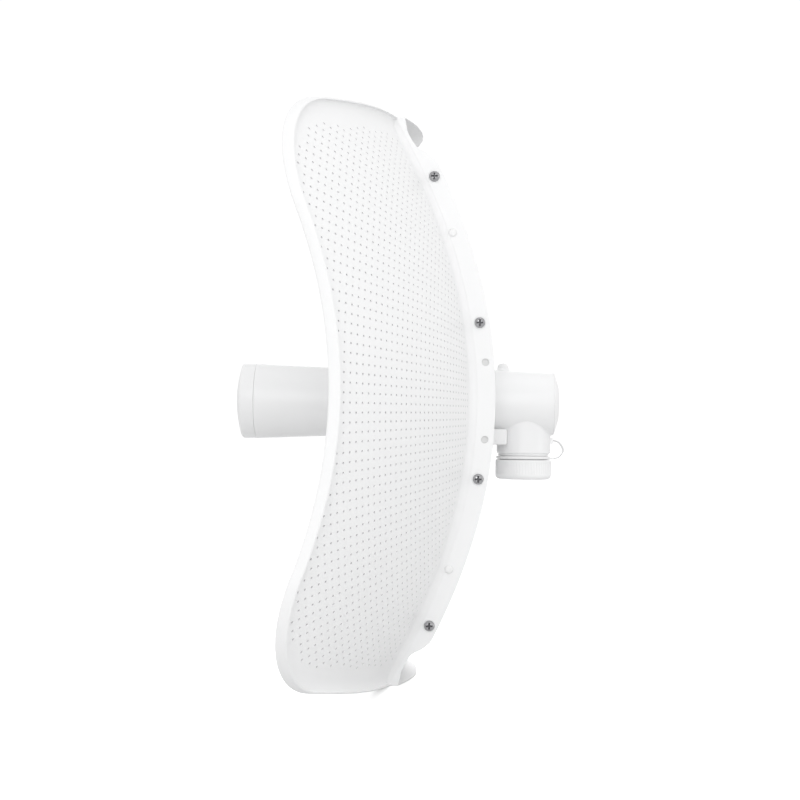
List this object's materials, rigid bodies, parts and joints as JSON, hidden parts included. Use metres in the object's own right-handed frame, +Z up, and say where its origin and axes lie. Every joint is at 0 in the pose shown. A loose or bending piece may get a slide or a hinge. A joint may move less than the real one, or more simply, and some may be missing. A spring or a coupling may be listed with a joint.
{
  "type": "outdoor wireless bridge",
  "caption": "Outdoor wireless bridge: perforated dish of two wings screwed to a centre panel, round radio feed through its middle, rear housing with a capped cable port.",
  "frame": {"origin": "on the feed's axis, midway between the four bracket inserts in the centre panel's side walls", "axes": "-Y is the beam direction, +Z is up, +X is the dish's right-hand side seen from behind the origin towards the beam"},
  "size_m": [0.3278, 0.1591, 0.2616],
  "materials": {
    "painted_steel": "satin white powder coat",
    "screw_steel": "bright zinc",
    "insert_steel": "dull zinc",
    "radome_plastic": "satin moulded white",
    "button_plastic": "satin moulded white",
    "seal_rubber": "matt",
    "reflector_metal": "satin",
    "board_laminate": "solder mask",
    "shield_tin": "tinned",
    "jack_plastic": "black moulded",
    "contact_gold": "gold flash",
    "rail_plastic": "natural moulded"
  },
  "bodies": {
    "antenna": {"centre_panel": "painted_steel", "wing_right": "painted_steel", "wing_left": "painted_steel", "wing_screws": "screw_steel", "wing_nuts": "insert_steel", "snap_studs": "button_plastic", "bracket_inserts": "insert_steel", "feed_collar": "radome_plastic", "feed_tube": "radome_plastic", "front_cap": "radome_plastic", "front_seal": "seal_rubber", "splash_plate": "reflector_metal", "feed_radiator": "reflector_metal", "radio_board": "board_laminate", "shield_can": "shield_tin", "board_rails": "rail_plastic", "ethernet_jack": "jack_plastic", "jack_contacts": "contact_gold", "reset_switch": "jack_plastic", "rear_housing": "radome_plastic", "rear_end_cap": "radome_plastic", "port_bulkhead": "rail_plastic", "cap_strap": "button_plastic"},
    "tether_ring": {"tether_ring": "button_plastic"},
    "port_cap": {"port_cap": "radome_plastic", "port_seal": "seal_rubber"},
    "reset_button": {"reset_button": "button_plastic"},
    "release_button": {"release_button": "button_plastic"}
  },
  "joints": [
    {"name": "port_cap_lift", "type": "slide", "parent": "antenna", "child": "tether_ring", "axis": [0, 0, -1], "range_m": [0, 0.003], "deforming": ["cap_strap"]},
    {"name": "port_cap_turn", "type": "hinge", "parent": "tether_ring", "child": "port_cap", "pos_m": [0, 0.02, -0.032], "axis": [0, 0, -1], "range_deg": [0, 540]},
    {"name": "reset_press", "type": "slide", "parent": "antenna", "child": "reset_button", "axis": [0, 0, 1], "range_m": [0, 0.0005], "stiffness_N_per_m": 800},
    {"name": "release_press", "type": "slide", "parent": "antenna", "child": "release_button", "axis": [0, 0, -1], "range_m": [0, 0.0015], "stiffness_N_per_m": 600}
  ],
  "couplings": [
    {"joint": "port_cap_turn", "follows": "port_cap_lift", "rad_per_m": 3141.6}
  ]
}
